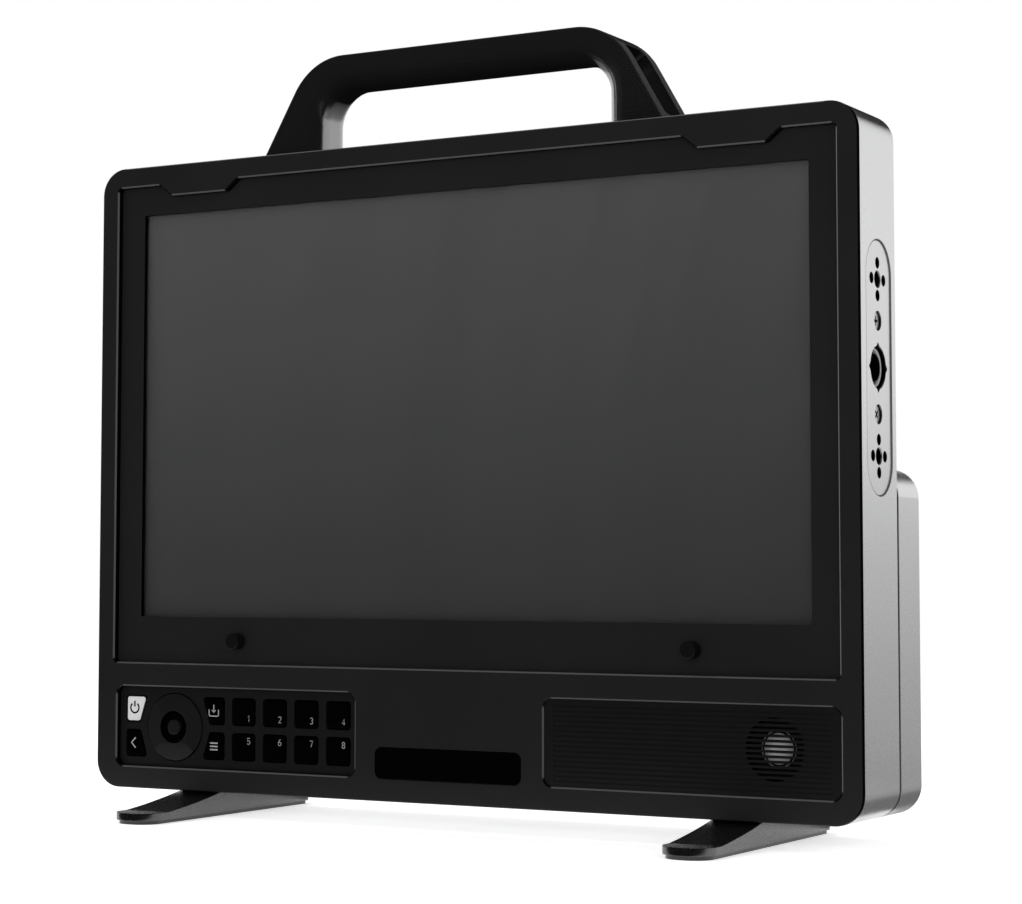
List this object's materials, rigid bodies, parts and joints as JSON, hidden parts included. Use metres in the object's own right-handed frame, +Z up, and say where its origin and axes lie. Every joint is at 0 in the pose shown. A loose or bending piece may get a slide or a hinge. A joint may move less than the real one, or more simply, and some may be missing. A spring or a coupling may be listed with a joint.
{
  "type": "camera field monitor",
  "caption": "Flat production monitor on two low feet with a carry handle, keypad with direction pad, ribbed speaker grille, side joystick and silver rear box.",
  "frame": {"origin": "on the ground in the middle of the overall box, under the body", "axes": "+X to the viewer's right, +Y from the screen towards the back, +Z up"},
  "size_m": [0.4616, 0.1588, 0.42],
  "materials": {
    "bezel_black": "fine-grained satin black plastic",
    "peg_black": "smooth black plastic",
    "badge_black": "gloss black, bare",
    "screen_glass": "coated front glass",
    "display_face": "dark grey display",
    "sheet_white": "milky sheet",
    "clear_guide": "clear acrylic",
    "light_yellow": "lamp strip",
    "tray_metal": "folded sheet",
    "soft_black": "soft rubber",
    "panel_grey": "satin dark grey plastic",
    "key_black": "gloss black key",
    "key_white": "gloss white key",
    "pad_black": "satin black plastic",
    "board_green": "circuit board",
    "grille_black": "satin black plastic with ribs",
    "basket_steel": "pressed steel",
    "cone_paper": "pressed paper cone",
    "dust_cap_silver": "bright dome",
    "magnet_dark": "dark ferrite",
    "silver_case": "bead-blasted silver",
    "plate_steel": "plain steel plate",
    "plate_black": "satin black plate",
    "jack_metal": "nickel-plated brass",
    "socket_metal": "tinned steel shell",
    "inlet_black": "black moulded plastic",
    "sink_black": "black extruded fins",
    "fan_black": "black moulded plastic",
    "side_silver": "bead-blasted silver",
    "button_silver": "satin silver button",
    "print_white": "white print",
    "print_dark": "dark print",
    "contact_gold": "gold-plated contact",
    "stick_black": "grippy black cap",
    "pivot_plastic": "hard moulded pivot",
    "handle_black": "fine-grained black handle",
    "foot_black": "smooth black coat",
    "screw_steel": "steel screw"
  },
  "bodies": {
    "monitor": {"front_bezel": "bezel_black", "hood_pegs": "peg_black", "badge_plate": "badge_black", "screen_gasket": "soft_black", "cover_glass": "screen_glass", "display_panel": "display_face", "diffuser_sheet": "sheet_white", "light_guide": "clear_guide", "light_strip": "light_yellow", "backlight_tray": "tray_metal", "keypad_panel": "panel_grey", "key_membrane": "soft_black", "key_board": "board_green", "speaker_grille": "grille_black", "speaker_frame": "basket_steel", "speaker_magnet": "magnet_dark", "main_housing": "silver_case", "vesa_plate": "plate_steel", "power_board": "board_green", "rear_box": "silver_case", "io_plate": "plate_black", "coax_jacks": "jack_metal", "data_sockets": "socket_metal", "power_inlet": "inlet_black", "main_board": "board_green", "heat_sink": "sink_black", "fan_frames": "fan_black", "side_panel": "side_silver", "side_board": "board_green", "carry_handle": "handle_black", "foot_left": "foot_black", "foot_right": "foot_black", "foot_pads": "soft_black", "case_screws": "screw_steel", "body_screws": "screw_steel", "rear_screws": "screw_steel"},
    "power_key": {"power_key": "key_white"},
    "back_key": {"back_key": "key_black"},
    "input_key": {"input_key": "key_black"},
    "menu_key": {"menu_key": "key_black"},
    "key_1": {"key_1": "key_black"},
    "key_2": {"key_2": "key_black"},
    "key_3": {"key_3": "key_black"},
    "key_4": {"key_4": "key_black"},
    "key_5": {"key_5": "key_black"},
    "key_6": {"key_6": "key_black"},
    "key_7": {"key_7": "key_black"},
    "key_8": {"key_8": "key_black"},
    "pad_pivot_ring": {"pad_pivot_ring": "pivot_plastic"},
    "pad_ring": {"pad_ring": "pad_black"},
    "pad_button": {"pad_button": "pad_black"},
    "joystick_socket": {"joystick_socket": "pivot_plastic"},
    "joystick_ring": {"joystick_ring": "pivot_plastic"},
    "joystick_cap": {"joystick_cap": "stick_black"},
    "plus_button": {"plus_button": "button_silver"},
    "times_button": {"times_button": "button_silver"},
    "speaker_cone": {"speaker_cone": "cone_paper", "speaker_dust_cap": "dust_cap_silver"},
    "fan_rotor_left": {"fan_rotor_left": "fan_black"},
    "fan_rotor_right": {"fan_rotor_right": "fan_black"}
  },
  "joints": [
    {"name": "power_key_press", "type": "slide", "parent": "monitor", "child": "power_key", "axis": [0, 1, 0], "range_m": [0, 0.0008], "stiffness_N_per_m": 300},
    {"name": "back_key_press", "type": "slide", "parent": "monitor", "child": "back_key", "axis": [0, 1, 0], "range_m": [0, 0.0008], "stiffness_N_per_m": 300},
    {"name": "input_key_press", "type": "slide", "parent": "monitor", "child": "input_key", "axis": [0, 1, 0], "range_m": [0, 0.0008], "stiffness_N_per_m": 300},
    {"name": "menu_key_press", "type": "slide", "parent": "monitor", "child": "menu_key", "axis": [0, 1, 0], "range_m": [0, 0.0008], "stiffness_N_per_m": 300},
    {"name": "key_1_press", "type": "slide", "parent": "monitor", "child": "key_1", "axis": [0, 1, 0], "range_m": [0, 0.0008], "stiffness_N_per_m": 300},
    {"name": "key_2_press", "type": "slide", "parent": "monitor", "child": "key_2", "axis": [0, 1, 0], "range_m": [0, 0.0008], "stiffness_N_per_m": 300},
    {"name": "key_3_press", "type": "slide", "parent": "monitor", "child": "key_3", "axis": [0, 1, 0], "range_m": [0, 0.0008], "stiffness_N_per_m": 300},
    {"name": "key_4_press", "type": "slide", "parent": "monitor", "child": "key_4", "axis": [0, 1, 0], "range_m": [0, 0.0008], "stiffness_N_per_m": 300},
    {"name": "key_5_press", "type": "slide", "parent": "monitor", "child": "key_5", "axis": [0, 1, 0], "range_m": [0, 0.0008], "stiffness_N_per_m": 300},
    {"name": "key_6_press", "type": "slide", "parent": "monitor", "child": "key_6", "axis": [0, 1, 0], "range_m": [0, 0.0008], "stiffness_N_per_m": 300},
    {"name": "key_7_press", "type": "slide", "parent": "monitor", "child": "key_7", "axis": [0, 1, 0], "range_m": [0, 0.0008], "stiffness_N_per_m": 300},
    {"name": "key_8_press", "type": "slide", "parent": "monitor", "child": "key_8", "axis": [0, 1, 0], "range_m": [0, 0.0008], "stiffness_N_per_m": 300},
    {"name": "pad_tilt_sideways", "type": "hinge", "parent": "monitor", "child": "pad_pivot_ring", "pos_m": [-0.17865, -0.01095, 0.0482], "axis": [0, 0, 1], "range_deg": [-2.2, 2.2], "stiffness_Nm_per_rad": 0.08},
    {"name": "pad_tilt_upright", "type": "hinge", "parent": "pad_pivot_ring", "child": "pad_ring", "pos_m": [-0.17865, -0.01095, 0.0482], "axis": [1, 0, 0], "range_deg": [-2.2, 2.2], "stiffness_Nm_per_rad": 0.08},
    {"name": "pad_button_press", "type": "slide", "parent": "monitor", "child": "pad_button", "axis": [0, 1, 0], "range_m": [0, 0.0008], "stiffness_N_per_m": 300},
    {"name": "joystick_press", "type": "slide", "parent": "monitor", "child": "joystick_socket", "axis": [-1, 0, 0], "range_m": [0, 0.0004], "stiffness_N_per_m": 600},
    {"name": "joystick_tilt_upright", "type": "hinge", "parent": "joystick_socket", "child": "joystick_ring", "pos_m": [0.22005, 0.008, 0.2365], "axis": [0, 1, 0], "range_deg": [-7, 7], "stiffness_Nm_per_rad": 0.02},
    {"name": "joystick_tilt_sideways", "type": "hinge", "parent": "joystick_ring", "child": "joystick_cap", "pos_m": [0.22005, 0.008, 0.2365], "axis": [0, 0, 1], "range_deg": [-7, 7], "stiffness_Nm_per_rad": 0.02},
    {"name": "plus_button_press", "type": "slide", "parent": "monitor", "child": "plus_button", "axis": [-1, 0, 0], "range_m": [0, 0.0006], "stiffness_N_per_m": 300},
    {"name": "times_button_press", "type": "slide", "parent": "monitor", "child": "times_button", "axis": [-1, 0, 0], "range_m": [0, 0.0006], "stiffness_N_per_m": 300},
    {"name": "speaker_cone_travel", "type": "slide", "parent": "monitor", "child": "speaker_cone", "axis": [0, -1, 0], "range_m": [-0.0008, 0.0008], "stiffness_N_per_m": 800},
    {"name": "fan_left_spin", "type": "hinge", "parent": "monitor", "child": "fan_rotor_left", "pos_m": [-0.088, 0.05375, 0.1435], "axis": [0, 1, 0], "continuous": true},
    {"name": "fan_right_spin", "type": "hinge", "parent": "monitor", "child": "fan_rotor_right", "pos_m": [0.088, 0.05375, 0.1435], "axis": [0, 1, 0], "continuous": true}
  ]
}
